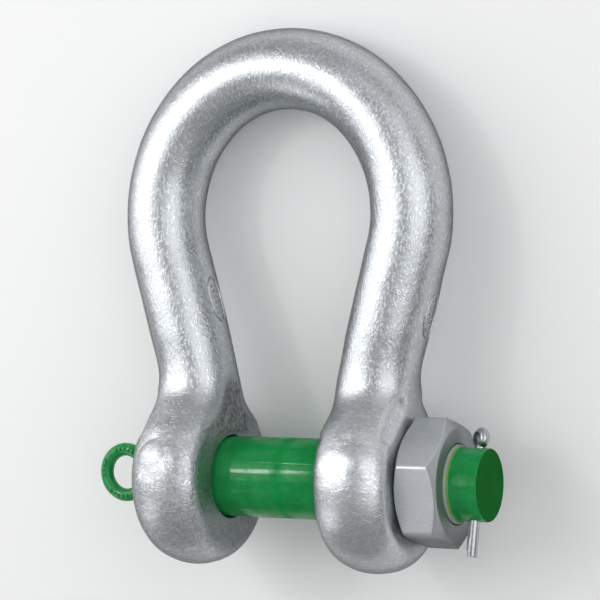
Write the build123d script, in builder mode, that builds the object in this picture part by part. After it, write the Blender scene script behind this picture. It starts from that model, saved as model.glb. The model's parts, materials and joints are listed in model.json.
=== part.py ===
# Bolt type anchor shackle, lying on its back as it comes to rest.
# X is the bolt's axis with the nut on the +X side, +Y points to the crown and +Z is up.
# The origin is on the bolt's axis, midway between the ears.
from build123d import *
from math import acos, asin, cos, degrees, radians, sin, sqrt, tan
import os

os.makedirs("parts", exist_ok=True)

# Bow: a round bar bent into an arch that is a little higher than it is wide
bar_diameter = 94.5
arch_half_width = 163.0  # from the middle to the bar's centre line, where the arch is widest
arch_height = 310.0  # of that widest place above the bolt holes
arch_rise = 171.5  # from there up to the centre line of the crown
leg_angle = 14.9  # by which each leg leans inwards

# Ears: thick round discs at the feet of the legs
jaw_width = 147.0
ear_width = 91.0
ear_diameter = 211.0
ear_rim_height = 31.0  # of the half oval that rounds an ear's rim
web_radius = 62.0  # of the hollow curve from the side of a leg to its ear
web_round_depth = 34.0  # of the oval part of the web's section at its foot
web_sink = 1.0  # by which the web stays inside the bar and the ear where it runs into them
bolt_hole_diameter = 100.0

# Bolt
bolt_diameter = 95.0
head_diameter = 120.0
head_flange_thickness = 9.0
head_length = 24.5
head_end_diameter = 84.0
thread_diameter = 90.0
thread_overlap = 3.0  # of the threaded part into the ear
thread_stand = 3.5  # of the thread's end beyond the nut's outer face
thread_end_diameter = 85.6
thread_end_chamfer = 3.0  # length of the chamfer on the thread's end
cove_length = 8.0  # of the hollow curve from the thread's end down to the dog
dog_diameter = 83.0
dog_length = 38.5  # beyond the nut's outer face
edge_break = 1.5

# Nut
nut_across_flats = 135.0
nut_thickness = 51.5
nut_face_diameter = 128.0
nut_chamfer_angle = 30.0
nut_corner_radius = 5.0
nut_mouth_diameter = 94.0
nut_turn = 18.3  # of the nut about the bolt
cross_hole_turn = 13.6  # of the bolt's cross hole, with the split pin in it

# Split pin: half-round wire folded into an eye and two legs
split_pin_diameter = 12.6
split_pin_eye_bore = 12.0
split_pin_neck_radius = 8.0
split_pin_long_leg = 81.0  # reach past the bolt's axis
split_pin_short_leg = 74.0
split_pin_leg_gap = 0.4
cross_hole_diameter = 14.0
cross_hole_to_end = 15.5

# Lifting eye: an eye bolt screwed into the bolt's head
eye_ring_diameter = 72.0
eye_ring_bore = 40.0
eye_height = 72.0
eye_collar_diameter = 40.0
eye_collar_thickness = 8.0
eye_neck_height = 20.0
eye_neck_diameter = 22.0
eye_shank_diameter = 20.0
eye_shank_length = 30.0

# Clearances
seat_gap = 0.3  # between faces that rest on or beside each other
thread_clearance = 0.2
tapped_hole_extra_depth = 4.0

# Radii and places that follow from the driving dimensions
bar_radius = bar_diameter / 2
ear_radius = ear_diameter / 2
bolt_radius = bolt_diameter / 2
bolt_hole_radius = bolt_hole_diameter / 2
dog_radius = dog_diameter / 2
thread_end_radius = thread_end_diameter / 2
cove_drop = thread_end_radius - dog_radius
cove_radius = (cove_length**2 + cove_drop**2) / (2 * cove_drop)
jaw_x = jaw_width / 2
ear_outer_x = jaw_x + ear_width
ear_centre_x = jaw_x + ear_width / 2
crown_height = arch_height + arch_rise

# The bolt has sunk onto the lower side of its holes, and the bow lies on its ears and its crown
bolt_drop = (bolt_hole_diameter - bolt_diameter) / 2 - seat_gap
lie_angle = asin((ear_radius - bar_radius) / crown_height)
bow_normal = (0, sin(lie_angle), cos(lie_angle))
bow_plane = Plane(origin=(0, 0, bolt_drop), x_dir=(1, 0, 0), z_dir=bow_normal)
bolt_plane = Plane(origin=(0, 0, 0), x_dir=(1, 0, 0), z_dir=bow_normal)
hole_axis = Axis(bow_plane.origin, (1, 0, 0))
bolt_axis = Axis(bolt_plane.origin, (1, 0, 0))
bow_across = Plane(origin=bow_plane.origin, x_dir=bow_plane.y_dir, z_dir=(1, 0, 0))

# Stations along the bolt
head_seat_x = -ear_outer_x - seat_gap
head_end_x = head_seat_x - head_length
nut_inner_x = ear_outer_x + seat_gap
nut_outer_x = nut_inner_x + nut_thickness
thread_start_x = ear_outer_x - thread_overlap
thread_end_x = nut_outer_x + thread_stand
cove_end_x = thread_end_x + cove_length
bolt_end_x = nut_outer_x + dog_length
cross_hole_x = bolt_end_x - cross_hole_to_end

# The nut and the cross hole stand turned about the bolt, with the split pin's eye on the bow's far side
nut_plane = Plane(origin=(nut_inner_x, 0, 0), x_dir=bow_normal, z_dir=(1, 0, 0)).rotated((-nut_turn, 0, 0))
pin_plane = Plane(origin=(cross_hole_x, 0, 0), x_dir=bow_normal,
                  z_dir=(-1, 0, 0)).rotated((-cross_hole_turn, 0, 0))
pin_direction = pin_plane.y_dir
pin_across = Plane(origin=(cross_hole_x, 0, 0), x_dir=(1, 0, 0), z_dir=pin_direction)
nut_across_corners = nut_across_flats / cos(radians(30))


def leg_centre(height):
    """Distance of a leg's centre line from the middle, at a height above the bolt holes."""
    foot_of_arch = arch_height - arch_half_width * sin(radians(leg_angle))
    return arch_half_width * cos(radians(leg_angle)) - (foot_of_arch - height) * tan(radians(leg_angle))


def half_depth(height):
    """Half depth of the web: the ear's round edge, then a hollow arc that runs into the bar's side."""
    if height < web_foot:
        return sqrt(ear_radius**2 - height**2)
    return bar_radius + web_radius - sqrt(web_radius**2 - (web_top - height) ** 2)


# The hollow arc leaves the ear's round edge at its foot and meets the bar's side at its top
web_top = sqrt((ear_radius + web_radius) ** 2 - (bar_radius + web_radius) ** 2)
web_foot = web_top * ear_radius / (ear_radius + web_radius)
web_steps = 4
web_end_round = 0.95  # share of the bar's radius that is round at the web's top
leg_reach = bar_radius / cos(radians(leg_angle))  # from the centre line to the side, across the height

with BuildPart() as bow:
    # The arch and its legs are one round bar
    with BuildLine(bow_plane) as bar_line:
        for side in (1, -1):
            shoulder = CenterArc((0, arch_height), arch_half_width, 90 - side * 90, -side * leg_angle)
            Line(shoulder @ 1, (side * leg_centre(bolt_hole_radius), bolt_hole_radius))
        EllipticalCenterArc((0, arch_height), arch_half_width, arch_rise, arc_size=180)
    bar_path = bar_line.wires()[0]
    with BuildSketch(Plane(bar_path @ 0, z_dir=bar_path % 0)):
        Circle(bar_radius)
    sweep(path=bar_path)
    # Ears, their rims rounded by half an oval
    rim_foot = ear_radius - ear_rim_height
    for side in (1, -1):
        with BuildSketch(bow_plane):
            with BuildLine():
                rim = EllipticalCenterArc((side * ear_centre_x, rim_foot),
                                          ear_width / 2, ear_rim_height, arc_size=180)
                Polyline(rim @ 0, ((rim @ 0).X, 0), ((rim @ 1).X, 0), rim @ 1)
            make_face()
        revolve(axis=hole_axis)
    # Webs that deepen the foot of each leg until it runs into its ear
    for side in (1, -1):
        for step in range(-1, web_steps + 1):
            share = step / web_steps
            height = web_foot + share * (web_top - web_foot)
            centre = ear_centre_x + share * (leg_centre(web_top) - ear_centre_x)
            half_width = ear_width / 2 + share * (leg_reach - ear_width / 2)
            web_plane = Plane(bow_plane.from_local_coords((side * centre, height, 0)),
                              x_dir=bow_plane.x_dir, z_dir=bow_plane.y_dir)
            round_depth = web_round_depth + share * (web_end_round * bar_radius - web_round_depth)
            flat_depth = half_depth(height) - web_sink - round_depth
            with BuildSketch(web_plane):
                with BuildLine():
                    front = EllipticalCenterArc((0, flat_depth), half_width - web_sink,
                                                round_depth, arc_size=180)
                    back = EllipticalCenterArc((0, -flat_depth), half_width - web_sink,
                                               round_depth, 180, arc_size=180)
                    Line(front @ 1, back @ 0)
                    Line(back @ 1, front @ 0)
                make_face()
        loft()
    # The inner faces of the ears and of the feet of the legs are one flat jaw face on each side
    with BuildSketch(bow_plane):
        with Locations((0, (arch_height - ear_diameter) / 2)):
            Rectangle(jaw_width, arch_height + ear_diameter)
    extrude(amount=ear_diameter, both=True, mode=Mode.SUBTRACT)
    with BuildSketch(bow_across):
        Circle(bolt_hole_radius)
    extrude(amount=ear_outer_x + edge_break, both=True, mode=Mode.SUBTRACT)
bow.part.label = "bow"
export_step(bow.part, "parts/bow.step")

with BuildPart() as bolt:
    # Turned outline: head, shank, threaded part, and a hollow curve down to the dog
    with BuildSketch(bolt_plane):
        with BuildLine():
            Polyline((head_end_x, 0), (head_end_x, head_end_diameter / 2),
                     (head_seat_x - head_flange_thickness, head_diameter / 2),
                     (head_seat_x, head_diameter / 2), (head_seat_x, bolt_radius),
                     (thread_start_x, bolt_radius), (thread_start_x, thread_diameter / 2),
                     (thread_end_x - thread_end_chamfer, thread_diameter / 2),
                     (thread_end_x, thread_end_radius))
            half_cove = asin(cove_length / cove_radius) / 2
            ThreePointArc((thread_end_x, thread_end_radius),
                          (cove_end_x - cove_radius * sin(half_cove),
                           dog_radius + cove_radius * (1 - cos(half_cove))),
                          (cove_end_x, dog_radius))
            Polyline((cove_end_x, dog_radius), (bolt_end_x, dog_radius), (bolt_end_x, 0),
                     (head_end_x, 0))
        make_face()
    revolve(axis=bolt_axis)
    end_face = bolt.faces().sort_by(Axis.X)[-1]
    chamfer(end_face.edges(), edge_break)
    # Cross hole for the split pin
    with BuildSketch(pin_across):
        Circle(cross_hole_diameter / 2)
    extrude(amount=bolt_diameter, both=True, mode=Mode.SUBTRACT)
    # Tapped hole for the lifting eye
    with BuildSketch(Plane(origin=(head_end_x, 0, 0), z_dir=(1, 0, 0))):
        Circle(eye_shank_diameter / 2 + thread_clearance)
    extrude(amount=eye_shank_length + tapped_hole_extra_depth, mode=Mode.SUBTRACT)
bolt.part.label = "bolt"
export_step(bolt.part, "parts/bolt.step")

with BuildPart() as nut:
    with BuildSketch(nut_plane):
        RegularPolygon(nut_across_flats / 2, 6, major_radius=False)
    extrude(amount=nut_thickness)
    fillet(nut.edges().filter_by(Axis.X), nut_corner_radius)
    # Both faces are chamfered to a circle, which leaves curved corners on the flats
    chamfer_reach = nut_across_corners / 2 - nut_face_diameter / 2
    chamfer_depth = chamfer_reach * tan(radians(nut_chamfer_angle))
    with BuildSketch(bolt_plane):
        with BuildLine():
            Polyline((nut_inner_x, 0), (nut_inner_x, nut_face_diameter / 2),
                     (nut_inner_x + chamfer_depth, nut_across_corners / 2),
                     (nut_outer_x - chamfer_depth, nut_across_corners / 2),
                     (nut_outer_x, nut_face_diameter / 2), (nut_outer_x, 0), close=True)
        make_face()
    revolve(axis=bolt_axis, mode=Mode.INTERSECT)
    # Threaded bore, opened out by a chamfer at each mouth
    nut_bore_radius = thread_diameter / 2 + thread_clearance
    mouth_depth = nut_mouth_diameter / 2 - nut_bore_radius
    with BuildSketch(bolt_plane):
        with BuildLine():
            Polyline((nut_inner_x, 0), (nut_inner_x, nut_mouth_diameter / 2),
                     (nut_inner_x + mouth_depth, nut_bore_radius),
                     (nut_outer_x - mouth_depth, nut_bore_radius),
                     (nut_outer_x, nut_mouth_diameter / 2), (nut_outer_x, 0), close=True)
        make_face()
    revolve(axis=bolt_axis, mode=Mode.SUBTRACT)
nut.part.label = "nut"
export_step(nut.part, "parts/nut.step")

with BuildPart() as split_pin:
    # The inner line of the wire: up the long leg, round the eye and down the short leg
    leg_x = split_pin_leg_gap / 2
    eye_bore_radius = split_pin_eye_bore / 2
    neck_turn = degrees(acos((leg_x + split_pin_neck_radius) / (eye_bore_radius + split_pin_neck_radius)))
    neck_y = dog_radius + seat_gap
    with BuildLine(pin_plane) as wire_line:
        long_leg = Line((-leg_x, -split_pin_long_leg), (-leg_x, neck_y))
        neck = JernArc(long_leg @ 1, long_leg % 1, split_pin_neck_radius, neck_turn)
        eye = JernArc(neck @ 1, neck % 1, eye_bore_radius, -180 - 2 * neck_turn)
        far_neck = JernArc(eye @ 1, eye % 1, split_pin_neck_radius, neck_turn)
        Line(far_neck @ 1, (leg_x, -split_pin_short_leg))
    wire_path = wire_line.wires()[0]
    with BuildSketch(Plane(long_leg @ 0, x_dir=-pin_plane.x_dir, z_dir=pin_plane.y_dir)):
        with BuildLine():
            CenterArc((0, 0), split_pin_diameter / 2, -90, 180)
            Line((0, -split_pin_diameter / 2), (0, split_pin_diameter / 2))
        make_face()
    sweep(path=wire_path)
split_pin.part.label = "split_pin"
export_step(split_pin.part, "parts/split_pin.step")

with BuildPart() as lifting_eye:
    # Collar and a neck that narrows into the ring
    eye_seat_x = head_end_x - seat_gap
    shank_end_x = eye_seat_x + eye_shank_length
    ring_x = eye_seat_x - (eye_height - eye_ring_diameter / 2)
    with BuildSketch(bolt_plane):
        with BuildLine():
            Polyline((shank_end_x, 0), (shank_end_x, eye_shank_diameter / 2),
                     (eye_seat_x, eye_shank_diameter / 2), (eye_seat_x, eye_collar_diameter / 2),
                     (eye_seat_x - eye_collar_thickness, eye_collar_diameter / 2),
                     (eye_seat_x - eye_neck_height, eye_neck_diameter / 2),
                     (eye_seat_x - eye_neck_height, 0), close=True)
        make_face()
    revolve(axis=bolt_axis)
    # Ring, in the bow's own plane
    ring_section = (eye_ring_diameter - eye_ring_bore) / 4
    with BuildSketch(Plane(origin=(ring_x, 0, 0), x_dir=(1, 0, 0), z_dir=bolt_plane.y_dir)):
        with Locations((-eye_ring_diameter / 2 + ring_section, 0)):
            Circle(ring_section)
    revolve(axis=Axis((ring_x, 0, 0), bolt_plane.z_dir))
    with BuildSketch(Plane(origin=(ring_x, 0, 0), x_dir=(1, 0, 0), z_dir=bolt_plane.z_dir)):
        Circle(eye_ring_bore / 2)
    extrude(amount=ring_section, both=True, mode=Mode.SUBTRACT)
lifting_eye.part.label = "lifting_eye"
export_step(lifting_eye.part, "parts/lifting_eye.step")
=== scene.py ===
"""Looks of a bolt type anchor shackle: a galvanised forging with a green bolt, on a pale floor."""
import json
from math import asin, atan, cos, pi, radians, sin, sqrt, tan

import bmesh
import bpy
import numpy as np
from mathutils import Matrix, Vector, noise


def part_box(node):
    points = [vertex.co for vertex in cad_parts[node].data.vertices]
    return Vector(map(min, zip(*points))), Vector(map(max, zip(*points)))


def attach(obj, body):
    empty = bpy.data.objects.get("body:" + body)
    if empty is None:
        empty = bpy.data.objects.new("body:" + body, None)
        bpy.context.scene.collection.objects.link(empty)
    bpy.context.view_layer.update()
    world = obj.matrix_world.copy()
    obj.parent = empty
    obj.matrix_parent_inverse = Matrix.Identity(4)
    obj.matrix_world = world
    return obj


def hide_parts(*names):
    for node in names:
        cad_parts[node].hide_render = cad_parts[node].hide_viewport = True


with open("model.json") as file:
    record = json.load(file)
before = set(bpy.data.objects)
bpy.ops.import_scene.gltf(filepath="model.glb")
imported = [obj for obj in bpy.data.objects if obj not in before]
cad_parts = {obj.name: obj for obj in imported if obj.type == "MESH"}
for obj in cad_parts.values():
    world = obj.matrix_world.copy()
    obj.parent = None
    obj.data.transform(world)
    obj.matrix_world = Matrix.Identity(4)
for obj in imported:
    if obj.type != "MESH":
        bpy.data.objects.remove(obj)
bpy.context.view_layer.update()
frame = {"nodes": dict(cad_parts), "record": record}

mm = 0.001

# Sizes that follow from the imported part
mounts = {mount["name"]: mount for mount in frame["record"]["mounts"]}
bow_low, bow_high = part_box("bow")
bolt_low, bolt_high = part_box("bolt")
nut_low, nut_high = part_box("nut")
jaw_x = mounts["bolt_span"]["dims"]["length_mm"] / 2 * mm
bolt_radius = mounts["bolt_span"]["dims"]["r_mm"] * mm
ear_radius = (bow_high.z - bow_low.z) / 2
bolt_drop = (bow_high.z + bow_low.z) / 2
floor_z = bow_low.z

# Bow: a round bar bent into an arch, with thick round ears
bar_radius = 47.25 * mm
arch_half_width = 163 * mm
arch_height = 310 * mm
arch_rise = 171.5 * mm
leg_angle = radians(14.9)
ear_width = 91 * mm
ear_rim_height = 31 * mm
edge_swell = 1.6 * mm  # by which a rim's oval is wider than the ear, so that a slight edge stays
ear_edge_round = 1 * mm
bore_radius = 50 * mm
ear_centre_x = jaw_x + ear_width / 2
ear_outer_x = jaw_x + ear_width
lie_angle = asin((ear_radius - bar_radius) / (arch_height + arch_rise))

# Web: the hollow curve by which the foot of a leg deepens to its ear
web_radius = 62 * mm
web_round_depth = 34 * mm
web_end_round = 0.95
web_sink = 1 * mm
web_buried = 20 * mm
web_fade = 25 * mm
web_top = sqrt((ear_radius + web_radius) ** 2 - (bar_radius + web_radius) ** 2)
web_foot = web_top * ear_radius / (ear_radius + web_radius)
crease_fill = 6 * mm

# Jaw faces: each runs up the inner side of its leg as a flat that dies out
facet_foot = 125 * mm
facet_top = 180 * mm
facet_fade = 20 * mm
facet_depth = 4.2 * mm
jaw_edge_on_leg = 1.5 * mm
jaw_edge_on_ear = 8 * mm
jaw_edge_foot, jaw_edge_top = 55 * mm, 120 * mm

# Forged skin, in millimetres: lumps as places on the outer half of the bow, their reach and height,
# then the hollow beside the foot of each leg, and a dent in the left ear
lumps = [
    ((131, 34, 99), 21, 1.6), ((128, 66, 80), 17, 1.3),
    ((90, 24, 94), 17, 1.1), ((146, 27, 95), 18, 0.8)]
hollow_top, hollow_foot = (161, 91, 33), (159, 57, 67)
hollow_reach, hollow_depth = 13.5, 4.4
dent_centre, dent_radius, dent_width, dent_depth = (-127, 31, 101), 20.5, 3.6, 1.1
dent_lean, dent_fade = 0.8, (12, 24)
wave_size, ripple_size, ripple_share, wave_height = 34, 13, 0.3, 0.4
wrinkle_size, wrinkle_height = (14, 7, 9), 0.16
wrinkles_end = (60 * mm, 130 * mm)  # heights up the bow over which the ears' wrinkles die out
bore_margin = (0.3 * mm, 6 * mm)  # distance from a bore over which the skin begins

# Bow's mesh: fineness of the skin, and the heights between which the webs melt into the legs
voxel = 2.75 * mm
melt_rounds = 70
melt_foot, melt_top = (35 * mm, 75 * mm), (140 * mm, 175 * mm)
melt_off_jaw, melt_on_jaw = (1 * mm, 16 * mm), (55 * mm, 85 * mm)

# Bolt: head, shank, threaded part, hollow curve and dog, with the cross hole for the split pin
head_end_x, bolt_end_x = bolt_low.x, bolt_high.x
nut_inner_x, nut_outer_x = nut_low.x, nut_high.x
head_seat_x = -nut_inner_x
head_end_radius, head_radius, head_flange = 42 * mm, 60 * mm, 9 * mm
tapped_radius, tapped_depth = 10.2 * mm, 34 * mm
thread_radius = 45 * mm
thread_start_x, thread_end_x = nut_inner_x - 3.3 * mm, nut_outer_x + 3.5 * mm
thread_end_radius, thread_chamfer = 42.8 * mm, 3 * mm
dog_radius, cove_length = 41.5 * mm, 8 * mm
cross_hole_x, cross_hole_radius = bolt_end_x - 15.5 * mm, 7 * mm
cross_hole_turn = radians(13.6)
on_axis = 0.01 * mm  # radius of a turned piece's middle, before its points are joined
turned_sides = 144

# Nut
nut_apothem, nut_corner_round, nut_turn = 67.5 * mm, 5 * mm, radians(18.3)
nut_face_radius, nut_mouth_radius, nut_bore_radius = 64 * mm, 47 * mm, 45.2 * mm
nut_chamfer_angle = radians(30)
nut_edge_wear = 1 * mm

# Lifting eye's ring; split pin
ring_radius, ring_section = 28 * mm, 8 * mm
ring_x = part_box("lifting_eye")[0].x + ring_radius + ring_section
split_pin_roll = radians(-124)
split_pin_ends = 60 * mm

# Photograph's camera, in the bow's upright axes: X along the bolt, Y to the crown, Z to the viewer
camera_azimuth = radians(27.54)
camera_elevation = radians(0.28)
camera_roll = radians(-0.63)
camera_side = -12.81 * mm
camera_rise = -209.55 * mm
camera_distance = 2421.68 * mm
focal_length_px = 2056.7
image_size_px = 600
sensor_width_mm = 36

# Lamps: degrees right of and above the camera as seen from the shackle, then metres away, width and
# height, level and shape
lamp_aim = Vector((0, 0.2, 0))
lamps = (
    ("left_wide", -75, 11, 2.8, 4.6, 2.3, 1.42, "ELLIPSE"),
    ("left_core", -72, 13, 2.7, 3.0, 1.0, 0.3, "ELLIPSE"),
    ("front_wide", 19, 6, 2.8, 3.0, 3.0, 1.0, "ELLIPSE"),
    ("front_core", 19, 6, 2.7, 1.4, 1.6, 0.25, "ELLIPSE"),
    ("high_wide", 8, 46, 2.8, 3.0, 1.2, 0.38, "ELLIPSE"),
    ("low_box", -90, -36, 2.8, 2.4, 0.9, 1.1, "ELLIPSE"),
    ("top_strip", -50, 86, 2.8, 1.6, 0.04, 1.5, "RECTANGLE"),
    ("bolt_streak", -58, 14, 2.6, 0.2, 0.5, 16, "ELLIPSE"),
    ("bolt_line", -64.2, 36.5, 2.6, 0.16, 0.06, 16, "RECTANGLE"))


# Shader expressions

class Socket:
    """A node's output socket. Its operators add Math nodes, so masks read as plain arithmetic."""

    def __init__(self, finish, socket):
        self.finish = finish
        self.socket = socket

    def math(self, operation, *values):
        return self.finish.node("ShaderNodeMath", {"operation": operation}, dict(enumerate(values)))

    def __add__(self, other):
        return self.math("ADD", self, other)

    def __sub__(self, other):
        return self.math("SUBTRACT", self, other)

    def __mul__(self, other):
        return self.math("MULTIPLY", self, other)

    def __pow__(self, other):
        return self.math("POWER", self, other)

    def __rsub__(self, other):
        return self.math("SUBTRACT", other, self)

    __radd__ = __add__
    __rmul__ = __mul__

    def absolute(self):
        return self.math("ABSOLUTE", self)

    def at_least(self, other):
        """The larger of two values."""
        return self.math("MAXIMUM", self, other)

    def fade(self, start, end):
        """0 at start, 1 at end, eased in between."""
        return self.finish.node("ShaderNodeMapRange", {"interpolation_type": "SMOOTHSTEP"},
                                {"Value": self, "From Min": start, "From Max": end})

    def spread(self):
        """Noise, which keeps near its middle, drawn out until it fills 0 to 1."""
        return self.fade(0.3, 0.7)

    def within(self, start, end, blur):
        """1 between start and end, and 0 outside them."""
        return self.fade(start - blur, start + blur) * (1 - self.fade(end - blur, end + blur))

    def along(self, axis):
        """One part of a vector."""
        return self.finish.node("ShaderNodeSeparateXYZ", {}, {"Vector": self}, output=axis)

    def stretched(self, x, y, z):
        """A vector with each of its parts multiplied."""
        return self.finish.node("ShaderNodeVectorMath", {"operation": "MULTIPLY"},
                                {0: self, 1: (x, y, z)})


class Finish:
    """The node tree of one material or of the world, built up by calls to node."""

    def __init__(self, tree):
        self.tree = tree
        tree.nodes.clear()

    def node(self, kind, settings=None, inputs=None, output=0):
        """Adds a node: its settings first, then the values or links of its sockets."""
        made = self.tree.nodes.new(kind)
        for name, value in (settings or {}).items():
            setattr(made, name, value)
        for name, value in (inputs or {}).items():
            if isinstance(value, Socket):
                self.tree.links.new(value.socket, made.inputs[name])
            else:
                made.inputs[name].default_value = value
        if made.outputs:
            return Socket(self, made.outputs[output])

    def place(self):
        """Where a point lies in the row frame, in metres, carried along as its piece moves."""
        return self.node("ShaderNodeTexCoord", output="Object")

    def grain(self, place, size, detail=2.0, roughness=0.5, distortion=0.0):
        """Soft noise whose lumps are about size across."""
        return self.node("ShaderNodeTexNoise", {}, {
            "Vector": place, "Scale": 1 / size, "Detail": detail, "Roughness": roughness,
            "Distortion": distortion})

    def blend(self, factor, first, second):
        """A colour between two others."""
        return self.node("ShaderNodeMix", {"data_type": "RGBA"},
                         {"Factor": factor, 6: first, 7: second}, output=2)

    def bump(self, height, depth, strength=1.0, normal=None):
        """A normal from a height between 0 and 1, where 1 stands depth metres proud."""
        links = {"Height": height, "Distance": depth, "Strength": strength}
        if normal is not None:
            links["Normal"] = normal
        return self.node("ShaderNodeBump", {}, links)


def grey(level, tint=0.0):
    """A grey with a little blue for a positive tint, as RGBA."""
    return (level * (1 - tint), level, level * (1 + tint), 1.0)


def new_finish(name):
    """A new material and the builder of its nodes."""
    material = bpy.data.materials.new(name)
    material.use_nodes = True
    return material, Finish(material.node_tree)


def coated(finish, inputs):
    """Connects a principled shader with these inputs to the material's output."""
    shader = finish.node("ShaderNodeBsdfPrincipled", {}, inputs)
    finish.node("ShaderNodeOutputMaterial", {}, {"Surface": shader})


def galvanised(name, level=0.62, roughness=0.27, relief=1.0, painted_shade_outer_face=None):
    """Hot dip zinc on steel: satin metal, combed along the bar and wrinkled across the ears."""
    material, finish = new_finish(name)

    def zinc(share, tint=0.03):
        """The zinc's grey, made darker or lighter by a share."""
        return grey(level * share, tint)

    place = finish.place()
    along_bolt, up_bow = place.along("X"), place.along("Y")
    off_middle = along_bolt.absolute()
    right_half = along_bolt.fade(-60 * mm, 60 * mm)
    ears = up_bow.fade(140 * mm, 70 * mm)

    # Skin: broad clouds, ridges with creases between them, and fine pebbles
    clouds = finish.grain(place, 45 * mm, detail=3.0, roughness=0.6)
    combed = finish.grain(place.stretched(1.2, 0.5, 1.2), 3.4 * mm,
                          detail=3.0, roughness=0.6, distortion=0.5)
    wrinkled = finish.grain(place.stretched(0.7, 1.25, 1.25), 6.2 * mm,
                            detail=2.0, roughness=0.6, distortion=1.3)
    pebbles = finish.grain(place, 2.2 * mm, detail=2.0, roughness=0.6)
    skin = combed * (1 - ears) + wrinkled * ears
    ridges = skin.spread()
    creases = skin.within(0.43, 0.555, 0.045) * relief * (1 - ears * right_half * 0.5)
    tone = ridges * 0.45 + pebbles.spread() * 0.4 + clouds.spread() * 0.15
    colour = finish.blend(tone, zinc(1 - 0.27 * relief, 0.035), zinc(1 + 0.24 * relief, 0.04))
    colour = finish.blend(ears * 0.3, colour, zinc(1.3))
    # Painted shade: the creases are painted darker, most of all on the ears
    colour = finish.blend(creases * (0.16 + ears * 0.24), colour, zinc(0.4))

    # Jaw faces: dull, scratched and pitted, with painted shade that darkens them downwards; the
    # lower rims of the ears get the same dull dark skin as painted shade
    jaw_face = 1 - off_middle.fade(jaw_x + 0.6 * mm, jaw_x + 2.2 * mm)
    lower_rim = 1 - off_middle.fade(jaw_x + 2 * mm, jaw_x + 11 * mm)
    # Painted shade: the lower rims of the ears, darker towards the bottom of the bow
    painted_shade_low_rims = lower_rim * up_bow.fade(-10 * mm, -60 * mm)
    dull = (jaw_face * up_bow.fade(150 * mm, 100 * mm)).at_least(painted_shade_low_rims * 0.6)
    pitted = finish.grain(place.stretched(1.0, 0.6, 0.6), 3.2 * mm,
                          detail=4.0, roughness=0.7).fade(0.4, 0.6)
    scratches = finish.grain(place.stretched(1.0, 0.12, 0.7), 2.6 * mm).fade(0.55, 0.68)
    # Painted shade: the jaw faces' zinc turns darker downwards to the height of the bolt's axis
    rubbed = finish.blend(up_bow.fade(70 * mm, 0.0), zinc(0.74), zinc(0.52))
    rubbed = finish.blend(pitted * 0.6 + scratches * 0.4, zinc(0.16), rubbed)
    colour = finish.blend(dull * 0.85, colour, rubbed)

    # Painted shade: darker on the outer face, and darker at the foot towards the bottom, mottled by
    # the clouds
    if painted_shade_outer_face:
        facing_out = finish.node("ShaderNodeTexCoord", output="Normal").along("X")
        colour = finish.blend(facing_out.fade(0.35, 0.7), colour, zinc(painted_shade_outer_face))
        painted_shade_foot = up_bow.fade(-36 * mm, -62 * mm) * (0.45 + clouds.spread() * 0.3)
        colour = finish.blend(painted_shade_foot, colour, zinc(0.3, 0.02))

    rough = (roughness + (clouds - 0.5) * 0.12 - (ridges - 0.5) * (0.08 * relief)
             + dull * 0.28 + ears * (0.05 * relief))
    ridge_height = relief * (0.16 - ears * 0.06)
    coarse = finish.bump(ridges * ridge_height - creases * (0.04 + ears * 0.08), 1 * mm)
    coated(finish, {
        "Base Color": colour, "Metallic": 1 - dull * 0.45, "Roughness": rough,
        "Normal": finish.bump(pebbles * (1 - ears * 0.6), 0.22 * relief * mm, normal=coarse),
        "Specular Tint": grey(0.25)})
    return material


def green_paint(name):
    """Glossy green paint, brushed on over turned steel, with the thread's bare and limed end."""
    material, finish = new_finish(name)
    deep_green, fresh_green = (0.006, 0.22, 0.046, 1.0), (0.009, 0.28, 0.068, 1.0)
    painted_shade_end_green, lime_green = (0.006, 0.12, 0.016, 1.0), (0.13, 0.36, 0.06, 1.0)
    place = finish.place()
    along_bolt = place.along("X")
    brushed = finish.grain(place.stretched(1.0, 0.25, 0.25), 5 * mm, detail=3.0)
    patches = finish.grain(place, 26 * mm, detail=4.0, roughness=0.6)
    pits = finish.grain(place, 2 * mm)

    # Stations: the dog's end face, the thread's bare and limed turns, the bands that the bow has
    # rubbed, and the lifting eye, whose skin is rougher
    thread_paint_x = thread_end_x - 0.8 * mm
    end_face = along_bolt.fade(bolt_end_x - 0.6 * mm, bolt_end_x - 0.2 * mm)
    bare = along_bolt.within(thread_end_x - 4 * mm, thread_paint_x, 0.2 * mm)
    limed = along_bolt.within(thread_paint_x, thread_end_x + 1.6 * mm, 0.3 * mm)
    rubbed = along_bolt.within(2 * mm, 14 * mm, 5 * mm)
    rubbed = rubbed + along_bolt.within(46 * mm, 70 * mm, 8 * mm)
    cast = along_bolt.fade(head_end_x - 1 * mm, head_end_x - 8 * mm)

    tone = patches.fade(0.35, 0.65) * 0.7 + brushed.spread() * 0.3
    colour = finish.blend(tone, deep_green, fresh_green)
    # Painted shade: the dog's end face is painted a darker green
    colour = finish.blend(end_face, colour, painted_shade_end_green)
    colour = finish.blend(limed * brushed.fade(0.25, 0.45), colour, lime_green)
    colour = finish.blend(bare, colour, grey(0.36, 0.02))
    gloss = (0.3 + patches.fade(0.35, 0.6) * 0.35 + cast * 0.4) * (1 - rubbed * 0.7)
    gloss = gloss * (1 - bare * 0.8) * (1 - end_face * 0.85)
    coated(finish, {
        "Base Color": colour, "Roughness": 0.3 + patches * 0.2, "Specular IOR Level": 0.0,
        "Coat Weight": gloss, "Coat Roughness": 0.1,
        "Normal": finish.bump((brushed * 0.7 + pits * 0.3) * (1 + cast * 3), 0.14 * mm, 0.7)})
    return material


def cut_steel(name):
    """Bare steel where the split pin's wire was cut."""
    material, finish = new_finish(name)
    grain = finish.grain(finish.place(), 1.5 * mm)
    coated(finish, {"Base Color": finish.blend(grain, grey(0.1), grey(0.2)),
                    "Metallic": 0.6, "Roughness": 0.6})
    return material


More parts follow.
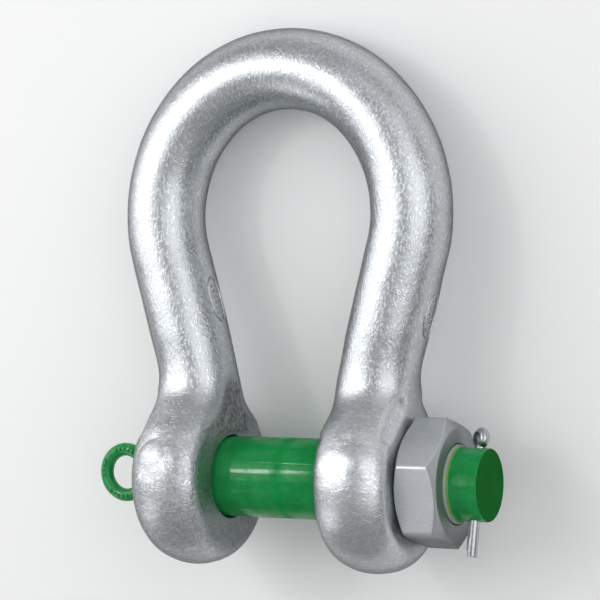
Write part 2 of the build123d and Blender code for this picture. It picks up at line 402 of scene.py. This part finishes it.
def bright_zinc(name):
    """Smooth bright zinc plate."""
    material, finish = new_finish(name)
    ripple = finish.grain(finish.place(), 4 * mm)
    coated(finish, {"Base Color": finish.blend(ripple, grey(0.38, 0.02), grey(0.56, 0.03)),
                    "Metallic": 1.0, "Roughness": 0.14 + ripple * 0.14,
                    "Normal": finish.bump(ripple, 0.2 * mm, 0.7)})
    return material


# Shape of the bow, as a field that is 0 on its surface, below 0 inside and about metres outside

def to_bow(points):
    """Row frame to the bow's own axes, where Y runs up the bow and Z stands across it."""
    x, y, z = points.T
    z = z - bolt_drop
    return np.stack([x, y * cos(lie_angle) - z * sin(lie_angle),
                     y * sin(lie_angle) + z * cos(lie_angle)], 1)


def to_row(points):
    """The bow's own axes to the row frame."""
    x, y, z = points.T
    return np.stack([x, y * cos(lie_angle) + z * sin(lie_angle),
                     bolt_drop - y * sin(lie_angle) + z * cos(lie_angle)], 1)


def eased(value, start, end):
    """0 at start, 1 at end, with no corner at either."""
    share = np.clip((value - start) / (end - start), 0, 1)
    return share * share * (3 - 2 * share)


def melted(first, second, reach):
    """Union of two fields whose crease is filled over a distance of reach."""
    share = np.clip(0.5 + 0.5 * (second - first) / reach, 0, 1)
    return second + (first - second) * share - reach * share * (1 - share)


def trimmed(first, second, reach):
    """Intersection of two fields whose edge is rounded over a distance of reach."""
    return -melted(-first, -second, reach)


def oval(across, along, half_width, round_length):
    """Field of a flat-sided strip whose end, from along = 0, is half an oval."""
    inner = np.abs(across) - half_width
    ratio = np.hypot(across / half_width, np.maximum(along, 0) / round_length)
    slope = np.hypot(across / half_width**2, along / round_length**2) / np.maximum(ratio, 1e-6)
    return np.where(along < 0, inner, (ratio - 1) / np.maximum(slope, 1e-6))


def leg_centre(height):
    """Distance of a leg's centre line from the middle."""
    shoulder_y = arch_height - arch_half_width * sin(leg_angle)
    return arch_half_width * cos(leg_angle) - (shoulder_y - height) * tan(leg_angle)


def bar_field(x, y, z):
    """The bent bar: an oval crown, round shoulders and straight legs."""
    dy = y - arch_height
    turn = np.arctan2(dy / arch_rise, x / arch_half_width)
    crown_x, crown_y = arch_half_width * np.cos(turn), arch_rise * np.sin(turn)
    normal_x, normal_y = np.cos(turn) / arch_half_width, np.sin(turn) / arch_rise
    off_crown = (x - crown_x) * normal_x + (dy - crown_y) * normal_y
    crown = np.abs(off_crown) / np.hypot(normal_x, normal_y)
    shoulder = np.abs(np.hypot(x, dy) - arch_half_width)
    leg = np.abs((x - leg_centre(0)) * cos(leg_angle) - y * sin(leg_angle))
    on_leg = np.arctan2(dy, x) < -leg_angle
    off_centre = np.where(dy > 0, crown, np.where(on_leg, leg, shoulder))
    return np.maximum(np.hypot(off_centre, z) - bar_radius, bore_radius - y)


def ear_field(x, y, z):
    """A round ear, its rim rounded by half an oval that meets the flat sides at a slight edge."""
    across = x - ear_centre_x
    above_rim_foot = np.hypot(y, z) - (ear_radius - ear_rim_height)
    round_rim = oval(across, above_rim_foot, ear_width / 2 + edge_swell, ear_rim_height)
    return trimmed(round_rim, np.abs(across) - ear_width / 2, ear_edge_round)


def web_field(x, y, z):
    """The web that deepens the foot of a leg until it runs into its ear."""
    height = np.clip(y, web_foot - web_buried, web_top)
    share = (height - web_foot) / (web_top - web_foot)
    below_top = np.clip(web_top - height, 0, 0.99 * web_radius)
    hollow = bar_radius + web_radius - np.sqrt(web_radius**2 - below_top**2)
    disc = np.sqrt(np.maximum(ear_radius**2 - height**2, 0))
    half_depth = np.where(height < web_foot, disc, hollow)
    centre = ear_centre_x + share * (leg_centre(web_top) - ear_centre_x)
    half_width = ear_width / 2 + share * (bar_radius / cos(leg_angle) - ear_width / 2)
    round_depth = web_round_depth + share * (web_end_round * bar_radius - web_round_depth)
    field = oval(x - centre, np.abs(z) - (half_depth - round_depth),
                 half_width + edge_swell, round_depth)
    field = np.maximum(field, x - centre - half_width) + web_sink
    return np.maximum(field, web_foot - web_buried - y)


def jaw_field(x, y, z):
    """The jaw face and the leg's flat. Far below 0 above the flat, where it trims nothing."""
    inner_side = leg_centre(y) - bar_radius / cos(leg_angle)
    fade = np.clip((facet_top - y) / (facet_top - facet_foot), 0, 3)
    flat = np.maximum(jaw_x, inner_side + facet_depth * fade**1.5)
    return flat - x - eased(y, facet_top, facet_top + facet_fade)


def bow_field(points):
    """The whole forging."""
    x, y, z = points.T
    x = np.abs(x)
    above = eased(y, web_top - web_fade, web_top)
    bar = bar_field(x, y, z)
    leg = np.minimum(bar, web_field(x, y, z)) * (1 - above) + bar * above
    body = melted(leg, ear_field(x, y, z), crease_fill)
    at_ear = 1 - eased(y, jaw_edge_foot, jaw_edge_top)
    edge = jaw_edge_on_leg + (jaw_edge_on_ear - jaw_edge_on_leg) * at_ear
    return trimmed(body, jaw_field(x, y, z), edge)


def gradient(field, points, step=0.1 * mm):
    """Slope of a field at each point."""
    slopes = []
    for axis in range(3):
        offset = np.zeros(3)
        offset[axis] = step
        slopes.append((field(points + offset) - field(points - offset)) / (2 * step))
    return np.stack(slopes, 1)


def seated(field, points, rounds=5, longest_move=3 * mm, least_slope=0.05):
    """Points brought onto the field's surface along its slope."""
    for _ in range(rounds):
        slope = gradient(field, points)
        length = np.maximum((slope**2).sum(1), least_slope)
        move = slope * (field(points) / length)[:, None]
        size = np.linalg.norm(move, axis=1, keepdims=True)
        points = points - move * np.minimum(1, longest_move / np.maximum(size, 1e-9))
    return points


def smoothed(mesh, points, weight, rounds, pull=0.6):
    """Points relaxed towards their neighbours, as far as weight lets each go."""
    ends = np.empty(len(mesh.edges) * 2, int)
    mesh.edges.foreach_get("vertices", ends)
    first, second = ends.reshape(-1, 2).T
    count = np.bincount(ends, minlength=len(points))[:, None]
    for _ in range(rounds):
        total = np.stack([np.bincount(first, points[second, axis], len(points))
                          + np.bincount(second, points[first, axis], len(points))
                          for axis in range(3)], 1)
        points = points + pull * weight[:, None] * (total / count - points)
    return points


# Meshes

def as_array(points):
    """Points or vectors as rows of an array."""
    return np.array([tuple(point) for point in points])


def mesh_array(vertices, kind):
    """The places or normals of a mesh's vertices, as rows of an array."""
    values = np.empty(len(vertices) * 3)
    vertices.foreach_get(kind, values)
    return values.reshape(-1, 3)


def shade_smooth(mesh):
    """Smooth shading on all faces."""
    mesh.polygons.foreach_set("use_smooth", [True] * len(mesh.polygons))


def in_scene(name, mesh):
    """A new object with this mesh."""
    made = bpy.data.objects.new(name, mesh)
    bpy.context.scene.collection.objects.link(made)
    return made


def applied(piece):
    """Replaces a piece's mesh by the result of its modifiers."""
    graph = bpy.context.evaluated_depsgraph_get()
    mesh = bpy.data.meshes.new_from_object(piece.evaluated_get(graph))
    piece.modifiers.clear()
    piece.data = mesh
    return mesh


def copy_of(node, name):
    """A new piece with a CAD node's shape, its split corners joined again."""
    mesh = frame["nodes"][node].data.copy()
    mesh.materials.clear()
    work = bmesh.new()
    work.from_mesh(mesh)
    bmesh.ops.remove_doubles(work, verts=work.verts, dist=0.002 * mm)
    work.to_mesh(mesh)
    work.free()
    return in_scene(name, mesh)


def faced_outward(piece, join=0.0):
    """Joins points that lie within a distance, where one is given, and turns all faces outward."""
    work = bmesh.new()
    work.from_mesh(piece.data)
    if join:
        bmesh.ops.remove_doubles(work, verts=work.verts, dist=join)
    bmesh.ops.recalc_face_normals(work, faces=work.faces)
    work.to_mesh(piece.data)
    work.free()


def cut_round(piece, place, radius, length, sides):
    """Bores a piece with one true cylinder that lies along the place's Z."""
    work = bmesh.new()
    bmesh.ops.create_cone(work, cap_ends=True, segments=sides, radius1=radius, radius2=radius,
                          depth=length, matrix=place)
    drill_mesh = bpy.data.meshes.new("drill")
    work.to_mesh(drill_mesh)
    work.free()
    drill = in_scene("drill", drill_mesh)
    cut = piece.modifiers.new("bore", "BOOLEAN")
    cut.object = drill
    cut.solver = "EXACT"
    applied(piece)
    bpy.data.objects.remove(drill)


def new_piece(name, points, faces, body, slot, *nodes):
    """A smooth piece from points and faces, which rides on a body and may stand for CAD nodes."""
    mesh = bpy.data.meshes.new(name)
    mesh.from_pydata([tuple(point) for point in points], [], faces)
    shade_smooth(mesh)
    mesh.update()
    piece = in_scene(name, mesh)
    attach(piece, body)
    if nodes:
        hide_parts(*nodes)
    return piece


def dress(node, material):
    """Gives a CAD node its finish."""
    piece = frame["nodes"][node]
    piece.data.materials.clear()
    piece.data.materials.append(material)


def hoop_faces(rows, sides, closed=False, first=0):
    """Faces between rows of points, each once round. Closed joins the last row to the first."""
    faces = []
    for row in range(rows if closed else rows - 1):
        here, ahead = first + row * sides, first + (row + 1) % rows * sides
        for side in range(sides):
            after = (side + 1) % sides
            faces.append((here + side, here + after, ahead + after, ahead + side))
    return faces


def rounded(outline, radii, steps=4, longest_share=0.45):
    """An outline of flat runs whose corners are rounded, each by its own radius."""
    points = [Vector(point) for point in outline]
    smooth = [points[0]]
    for before, corner, after, radius in zip(points, points[1:], points[2:], radii):
        into, out = corner - before, after - corner
        reach = min(radius * tan(into.angle(out) / 2),
                    longest_share * into.length, longest_share * out.length)
        start, end = corner - into.normalized() * reach, corner + out.normalized() * reach
        for step in range(steps + 1):
            share = step / steps
            smooth.append(start * (1 - share) ** 2 + corner * 2 * share * (1 - share)
                          + end * share**2)
    smooth.append(points[-1])
    return smooth


# Bow

def skin_height(points):
    """How far the forged skin stands proud of the plain form, in metres."""
    places = points / mm
    from_dent = places - np.array(dent_centre)
    off_ring = (np.linalg.norm(from_dent, axis=1) - dent_radius) / dent_width
    shown = eased(from_dent[:, 1] - dent_lean * from_dent[:, 0], *dent_fade)
    height = -dent_depth * np.exp(-(off_ring**2)) * shown
    waves = np.array([noise.noise(Vector(place) / wave_size)
                      + ripple_share * noise.noise(Vector(place) / ripple_size)
                      for place in places])
    near_ears = 1 - eased(points[:, 1], *wrinkles_end)
    wrinkles = np.array([noise.noise(Vector(place / wrinkle_size)) if near else 0.0
                         for place, near in zip(places, near_ears > 0)])
    places[:, 0] = np.abs(places[:, 0])
    for centre, reach, rise in lumps:
        share = np.clip(1 - ((places - np.array(centre)) ** 2).sum(1) / reach**2, 0, 1)
        height += rise * share**1.5
    both_sides = places * (1, 1, 0) + np.abs(places) * (0, 0, 1)
    start, run = np.array(hollow_top), np.array(hollow_foot) - np.array(hollow_top)
    share = np.clip((both_sides - start) @ run / (run @ run), 0, 1)
    away = np.linalg.norm(both_sides - start - share[:, None] * run, axis=1)
    height -= hollow_depth * np.clip(1 - (away / hollow_reach) ** 2, 0, 1) ** 2
    height += waves * wave_height + wrinkles * near_ears * wrinkle_height
    off_bore = eased(np.hypot(points[:, 1], points[:, 2]) - bore_radius, *bore_margin)
    return height * off_bore * mm


def forged_bow():
    """The bow as forged: the CAD node's form, with melted webs, flats on the legs, uneven skin."""
    piece = copy_of("bow", "forged_bow")
    remesh = piece.modifiers.new("skin", "REMESH")
    remesh.mode = "VOXEL"
    remesh.voxel_size = voxel
    mesh = applied(piece)
    points = seated(bow_field, to_bow(mesh_array(mesh.vertices, "co")))
    across, height = np.abs(points[:, 0]), points[:, 1]
    melting = eased(height, *melt_foot) * (1 - eased(height, *melt_top))
    melting *= np.maximum(eased(across - jaw_x, *melt_off_jaw), eased(height, *melt_on_jaw))
    points = smoothed(mesh, points, melting, melt_rounds)
    mesh.vertices.foreach_set("co", to_row(points).ravel())
    mesh.update()
    bores = Matrix.Translation((0, 0, bolt_drop)) @ Matrix.Rotation(pi / 2, 4, "Y")
    cut_round(piece, bores, bore_radius, length=2 * ear_outer_x + 40 * mm, sides=160)
    mesh = piece.data
    points = mesh_array(mesh.vertices, "co")
    points += mesh_array(mesh.vertices, "normal") * skin_height(to_bow(points))[:, None]
    mesh.vertices.foreach_set("co", points.ravel())
    mesh.update()
    shade_smooth(mesh)
    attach(piece, "bow")
    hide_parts("bow")
    return piece


def pips(name, seats, body, slot, rings=4, sides=12):
    """Small raised domes. A seat is a centre, its long, wide and upward directions and reaches."""
    points, faces = [], []
    for centre, (long, wide, up), (half_length, half_width, height) in seats:
        first = len(points)
        for ring in range(rings):
            spread, lift = cos(pi / 2 * ring / rings), sin(pi / 2 * ring / rings)
            for side in range(sides):
                angle = 2 * pi * side / sides
                points.append(centre + long * (half_length * spread * cos(angle))
                              + wide * (half_width * spread * sin(angle)) + up * (height * lift))
        points.append(centre + up * height)
        faces += hoop_faces(rings, sides, first=first)
        last = first + (rings - 1) * sides
        faces += [(last + side, last + (side + 1) % sides, len(points) - 1)
                  for side in range(sides)]
    return new_piece(name, points, faces, body, slot)


def leg_mark(name, top, foot, inner):
    """A plain raised rim around a row of plain pips, on the side of a leg."""
    half_width, wire_radius = 11.5 * mm, 1.4 * mm
    pip_shares = (-0.62, -0.37, -0.12, 0.12, 0.37, 0.62)
    pip_reaches = (5.5 * mm, 1.6 * mm, 1.6 * mm)
    loops, sides = 64, 8
    top, foot = Vector(top) * mm, Vector(foot) * mm
    centre, half_length = (top + foot) / 2, (top - foot).length / 2
    along = (top - foot).normalized()
    outward = Vector((cos(leg_angle), sin(leg_angle) * (1 if inner else -1), 0))
    outward = (outward - along * outward.dot(along)).normalized()
    across = along.cross(outward)

    def on_skin(places, rounds=12):
        """The places moved along the outward direction onto the bow's surface."""
        points = as_array(places)
        for _ in range(rounds):
            points = points - np.array(outward) * bow_field(points)[:, None]
        return [Vector(point) for point in points]

    middle = on_skin(centre + along * (half_length * cos(2 * pi * loop / loops))
                     + across * (half_width * sin(2 * pi * loop / loops)) for loop in range(loops))
    rim = []
    for loop in range(loops):
        ahead = (middle[(loop + 1) % loops] - middle[loop - 1]).normalized()
        beside = ahead.cross(outward)
        for side in range(sides):
            angle = 2 * pi * side / sides
            rim.append(middle[loop] + outward * (wire_radius * sin(angle))
                       + beside * (wire_radius * cos(angle)))
    rim_piece = new_piece(name + "_rim", to_row(as_array(rim)), hoop_faces(loops, sides, True),
                          "bow", "galvanised_forging")
    centres = on_skin(centre + along * (share * half_length) for share in pip_shares)
    turn = upright_to_row().to_3x3()
    directions = (turn @ across, turn @ along, turn @ outward)
    seats = [(Vector(place), directions, pip_reaches) for place in to_row(as_array(centres))]
    return rim_piece, pips(name + "_pips", seats, "bow", "galvanised_forging")


# Bolt, nut, lifting eye and split pin

def split_pin_direction():
    """Direction of the cross hole, towards the split pin's eye."""
    angle = lie_angle + cross_hole_turn
    return Vector((0, cos(angle), -sin(angle)))


def turned_bolt():
    """The bolt as turned: rounded head, shank, the thread's chamfered end, a cove and the dog."""
    cove_drop = thread_end_radius - dog_radius
    cove_radius = (cove_length**2 + cove_drop**2) / (2 * cove_drop)
    cove_end_x, cove_steps, longest_run = thread_end_x + cove_length, 8, 12 * mm
    outline = rounded(
        [(head_end_x + tapped_depth, on_axis), (head_end_x + tapped_depth, tapped_radius),
         (head_end_x, tapped_radius), (head_end_x, head_end_radius),
         (head_seat_x - head_flange, head_radius), (head_seat_x, head_radius),
         (head_seat_x, bolt_radius), (thread_start_x, bolt_radius),
         (thread_start_x, thread_radius), (thread_end_x - thread_chamfer, thread_radius),
         (thread_end_x, thread_end_radius)],
        [radius * mm for radius in (0.2, 0.8, 2.5, 4, 1.5, 1, 0.6, 0.5, 0.8)])
    for step in range(1, cove_steps + 1):
        back = cove_length * (1 - step / cove_steps)
        outline.append(Vector((cove_end_x - back,
                               dog_radius + cove_radius - sqrt(cove_radius**2 - back**2))))
    outline += rounded([(cove_end_x, dog_radius), (bolt_end_x, dog_radius), (bolt_end_x, on_axis)],
                       [2 * mm], steps=6)[1:]
    stations = []
    for start, end in zip(outline, outline[1:]):
        parts = max(1, round((end - start).length / longest_run))
        stations += [start.lerp(end, step / parts) for step in range(parts)]
    stations.append(outline[-1])
    angles = [2 * pi * side / turned_sides for side in range(turned_sides)]
    points = [(station, radius * sin(angle), radius * cos(angle))
              for station, radius in stations for angle in angles]
    piece = new_piece("turned_bolt", points, hoop_faces(len(stations), turned_sides),
                      "bolt", "green_paint", "bolt")
    faced_outward(piece, join=0.02 * mm)
    turn = split_pin_direction().to_track_quat("Z", "X").to_matrix().to_4x4()
    cut_round(piece, Matrix.Translation((cross_hole_x, 0, 0)) @ turn,
              cross_hole_radius, length=120 * mm, sides=48)
    return piece


def hexagon_reach(angle):
    """Distance from the nut's axis to its rounded hexagon, at an angle off a flat's middle."""
    off_flat = abs((angle + pi / 6) % (pi / 3) - pi / 6)
    flat_end = (nut_apothem - nut_corner_round) * tan(pi / 6)
    if off_flat < atan(flat_end / nut_apothem):
        return nut_apothem / cos(off_flat)
    corner = (nut_apothem - nut_corner_round) / cos(pi / 6)
    off_corner = pi / 6 - off_flat
    return corner * cos(off_corner) + sqrt(nut_corner_round**2 - (corner * sin(off_corner)) ** 2)


def milled_nut():
    """The nut: a hexagon whose chamfered faces leave curved corners on the flats, edges worn."""
    thickness = nut_outer_x - nut_inner_x
    wear_around, wear_along, unevenness = 9, 60, 0.5
    near_face = [depth * mm for depth in (
        0.25, 0.7, 1.3, 2.0, 2.7, 3.4, 4.1, 4.8, 5.5, 6.2, 6.9, 7.6, 8.4, 9.4, 11)]
    depths = near_face + [share * thickness for share in (0.3, 0.4, 0.5, 0.6, 0.7)]
    depths += [thickness - depth for depth in reversed(near_face)]
    face_radii = [radius * mm for radius in (47.6, 50, 54, 58, 61, 62.8, 63.6)]
    half_flat = (4, 8, 12, 16, 20, 24, 26.5, 27.6, 28.4, 29, 29.6)
    offsets = [-offset for offset in reversed(half_flat)] + [0] + list(half_flat)
    angles = [sector * pi / 3 + radians(offset) for sector in range(6) for offset in offsets]
    mouth_depth = nut_mouth_radius - nut_bore_radius
    bore = rounded([(nut_inner_x, nut_face_radius), (nut_inner_x, nut_mouth_radius),
                    (nut_inner_x + mouth_depth, nut_bore_radius),
                    (nut_outer_x - mouth_depth, nut_bore_radius),
                    (nut_outer_x, nut_mouth_radius), (nut_outer_x, nut_face_radius)],
                   [0.5 * mm, 0.4 * mm, 0.4 * mm, 0.5 * mm], steps=3)[1:-1]
    points = []
    for angle in angles:
        turn = angle + pi / 6 + nut_turn + lie_angle
        reach = hexagon_reach(angle)
        profile = list(bore) + [(nut_outer_x, radius) for radius in face_radii]
        for depth in reversed(depths):
            cone = nut_face_radius + min(depth, thickness - depth) / tan(nut_chamfer_angle)
            spot = (cos(angle) * wear_around, sin(angle) * wear_around, depth * wear_along)
            wear = nut_edge_wear * (1 + unevenness * noise.noise(Vector(spot)))
            share = min(1, max(0, 0.5 + 0.5 * (cone - reach) / wear))
            profile.append((nut_inner_x + depth,
                            cone + (reach - cone) * share - wear * share * (1 - share)))
        profile += [(nut_inner_x, radius) for radius in reversed(face_radii)]
        points += [(station, radius * sin(turn), radius * cos(turn)) for station, radius in profile]
    piece = new_piece("milled_nut", points, hoop_faces(len(angles), len(profile), True),
                      "nut", "galvanised_nut", "nut")
    faced_outward(piece)
    return piece


def ring_pips():
    """Plain raised pips on both faces of the lifting eye's ring."""
    groups, spacing = ((62, 5), (152, 4), (232, 5)), 12
    tilt, lean_range = radians(8), 0.5
    reaches, sink = (3.1 * mm, 1.4 * mm, 2 * mm), 0.25 * mm
    outward = Vector((0, cos(lie_angle), -sin(lie_angle)))
    upward = Vector((0, sin(lie_angle), cos(lie_angle)))
    seats = []
    for start, count in groups:
        for index in range(count):
            around = radians(start + index * spacing)
            radial = Vector((cos(around), 0, 0)) + outward * sin(around)
            along = radial.cross(upward)
            lean = lean_range * sin(index * 2.3 + start)
            for side in (1, -1):
                up = upward * side * cos(tilt) + radial * sin(tilt)
                long = up.cross(along)
                turned_pip = (long * cos(lean) + along * sin(lean),
                              along * cos(lean) - long * sin(lean), up)
                seat = Vector((ring_x, 0, 0)) + radial * ring_radius + up * (ring_section - sink)
                seats.append((seat, turned_pip, reaches))
    return pips("ring_pips", seats, "bolt", "green_paint")


def turned_split_pin():
    """The split pin, turned in its hole until its eye stands across the bolt, edges softened."""
    piece = copy_of("split_pin", "turned_split_pin")
    direction, facing_end = split_pin_direction(), -0.9
    centre = Matrix.Translation((cross_hole_x, 0, 0))
    roll = Matrix.Rotation(split_pin_roll, 4, direction)
    piece.data.transform(centre @ roll @ centre.inverted())
    bevel = piece.modifiers.new("softened", "BEVEL")
    bevel.width, bevel.segments = 0.35 * mm, 2
    bevel.limit_method, bevel.angle_limit = "ANGLE", radians(40)
    mesh = applied(piece)
    shade_smooth(mesh)
    mesh.materials.append(bright_zinc("bright_zinc"))
    mesh.materials.append(cut_steel("cut_steel"))
    for face in mesh.polygons:
        below = (face.center - centre.translation).dot(direction) < -split_pin_ends
        face.material_index = int(below and face.normal.dot(direction) < facing_end)
    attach(piece, "split_pin")
    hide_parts("split_pin")


# Stage, light and camera

def camera_axes():
    """Right, up and back of the camera, in the bow's own upright axes."""
    back = Vector((sin(camera_azimuth) * cos(camera_elevation), sin(camera_elevation),
                   cos(camera_azimuth) * cos(camera_elevation)))
    right = Vector((cos(camera_azimuth), 0, -sin(camera_azimuth)))
    up = back.cross(right)
    return (right * cos(camera_roll) + up * sin(camera_roll),
            up * cos(camera_roll) - right * sin(camera_roll), back)


def upright_to_row():
    """Turns the photograph's upright axes into the row frame, where the shackle lies down."""
    return Matrix.Rotation(-lie_angle, 4, "X")


def photograph_camera():
    """The camera that took the photograph, carried along as the shackle is laid down."""
    right, up, back = camera_axes()
    turn = Matrix((right, up, back)).transposed().to_4x4()
    place = right * -camera_side + up * -camera_rise + back * camera_distance
    data = bpy.data.cameras.new("camera")
    data.sensor_width = sensor_width_mm
    data.lens = focal_length_px / image_size_px * data.sensor_width
    data.clip_start, data.clip_end = 0.05, 50
    camera = in_scene("camera", data)
    camera.matrix_world = upright_to_row() @ Matrix.Translation(place) @ turn
    bpy.context.scene.camera = camera


def softbox(name, side, rise, distance, width, height, level, shape):
    """A flat lamp that faces the shackle. Its level is the brightness of its own surface."""
    right, up, back = camera_axes()
    side, rise = radians(side), radians(rise)
    direction = right * sin(side) * cos(rise) + up * sin(rise) + back * cos(side) * cos(rise)
    turn = upright_to_row().to_3x3()
    place = lamp_aim + turn @ direction * distance
    data = bpy.data.lights.new(name, "AREA")
    data.shape = shape
    data.size, data.size_y = width, height
    data.energy = level * pi * width * height * (pi / 4 if shape == "ELLIPSE" else 1)
    lamp = in_scene(name, data)
    away = (place - lamp_aim).normalized()
    across = (turn @ up).cross(away).normalized()
    lamp.matrix_world = Matrix.Translation(place) @ Matrix(
        (across, away.cross(across), away)).transposed().to_4x4()
    lamp.visible_camera = False


def lit_world():
    """A studio that is light above and to the left, and darker to the right."""
    world = bpy.data.worlds.new("studio")
    bpy.context.scene.world = world
    world.use_nodes = True
    finish = Finish(world.node_tree)
    direction = finish.node("ShaderNodeTexCoord", output="Generated")
    right, up, back = [upright_to_row().to_3x3() @ axis for axis in camera_axes()]
    light = 0
    for side, level in ((right, 0.12), (-right, 0.44), (up, 0.48), (-up, 0.3), (back, 0.5)):
        facing = finish.node("ShaderNodeVectorMath", {"operation": "DOT_PRODUCT"},
                             {0: direction, 1: side}, output="Value")
        light = light + facing.at_least(0.0) ** 2 * level
    background = finish.node("ShaderNodeBackground", {},
                             {"Color": grey(1.0, 0.01), "Strength": light})
    finish.node("ShaderNodeOutputWorld", {}, {"Surface": background})


def pale_floor(reach=12):
    """A plain pale floor under the shackle."""
    corners = [(-reach, -reach, 0), (reach, -reach, 0), (reach, reach, 0), (-reach, reach, 0)]
    mesh = bpy.data.meshes.new("floor")
    mesh.from_pydata(corners, [], [(0, 1, 2, 3)])
    floor = in_scene("floor", mesh)
    floor.location.z = floor_z
    material, finish = new_finish("pale_floor")
    matt = finish.node("ShaderNodeBsdfDiffuse", {}, {"Color": grey(0.95)})
    finish.node("ShaderNodeOutputMaterial", {}, {"Surface": matt})
    mesh.materials.append(material)


bow = forged_bow()
forging = galvanised("galvanised_forging")
bow.data.materials.append(forging)
inner_mark = leg_mark("inner_leg_mark", (-98, 238, 2), (-88.5, 186, -1), inner=True)
outer_mark = leg_mark("outer_leg_mark", (188, 214, 0), (177, 166, 0), inner=False)
for mark in inner_mark + outer_mark:
    mark.data.materials.append(forging)
paint = green_paint("green_paint")
turned_bolt().data.materials.append(paint)
milled_nut().data.materials.append(
    galvanised("galvanised_nut", level=0.68, roughness=0.43, relief=0.3, painted_shade_outer_face=0.68))
dress("lifting_eye", paint)
ring_pips().data.materials.append(paint)
turned_split_pin()

photograph_camera()
lit_world()
for lamp in lamps:
    softbox(*lamp)
pale_floor()
bpy.context.scene.view_settings.view_transform = "Standard"

print("triangles of the bow:", sum(len(face.vertices) - 2 for face in bow.data.polygons))
